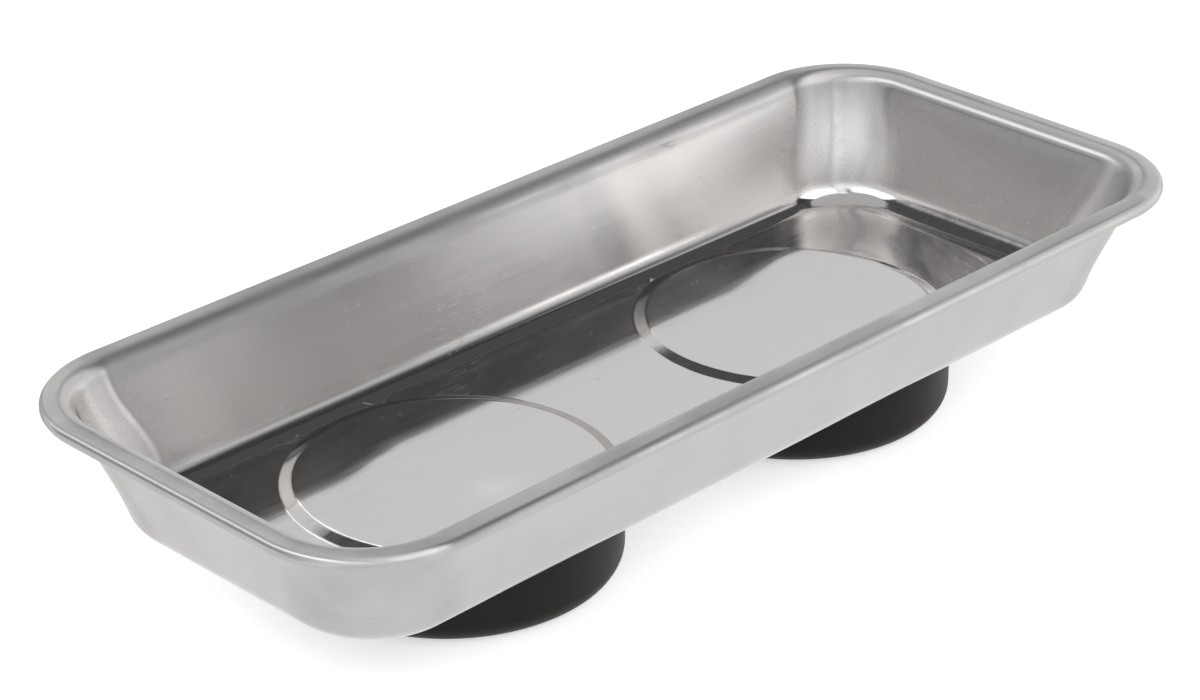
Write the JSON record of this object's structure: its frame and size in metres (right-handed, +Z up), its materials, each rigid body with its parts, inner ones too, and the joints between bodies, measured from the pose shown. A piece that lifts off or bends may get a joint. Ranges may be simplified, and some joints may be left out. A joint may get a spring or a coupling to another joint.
{
  "type": "magnetic parts tray",
  "caption": "Long stainless parts tray with rounded corners, a rolled rim and raised discs, on round rubber-booted magnet feet.",
  "frame": {"origin": "on the ground, under the middle of the rim", "axes": "+X along the tray, +Y across it towards the back wall, +Z up"},
  "size_m": [0.24, 0.1044, 0.0455],
  "materials": {
    "stainless": "smooth rolled stainless, satin",
    "boot_rubber": "moulded, matt to satin",
    "ferrite": "sintered, matt",
    "zinc_steel": "zinc plated",
    "bush_plastic": "moulded nylon"
  },
  "bodies": {
    "root": {"tray": "stainless", "left_weld_stud": "zinc_steel", "left_pole_plate": "zinc_steel", "left_ring_magnet": "ferrite", "left_centring_bush": "bush_plastic", "left_clamp_plate": "zinc_steel", "left_rubber_boot": "boot_rubber", "left_flat_washer": "zinc_steel", "left_lock_washer": "zinc_steel", "left_hex_nut": "zinc_steel", "right_weld_stud": "zinc_steel", "right_pole_plate": "zinc_steel", "right_ring_magnet": "ferrite", "right_centring_bush": "bush_plastic", "right_clamp_plate": "zinc_steel", "right_rubber_boot": "boot_rubber", "right_flat_washer": "zinc_steel", "right_lock_washer": "zinc_steel", "right_hex_nut": "zinc_steel"}
  },
  "joints": []
}
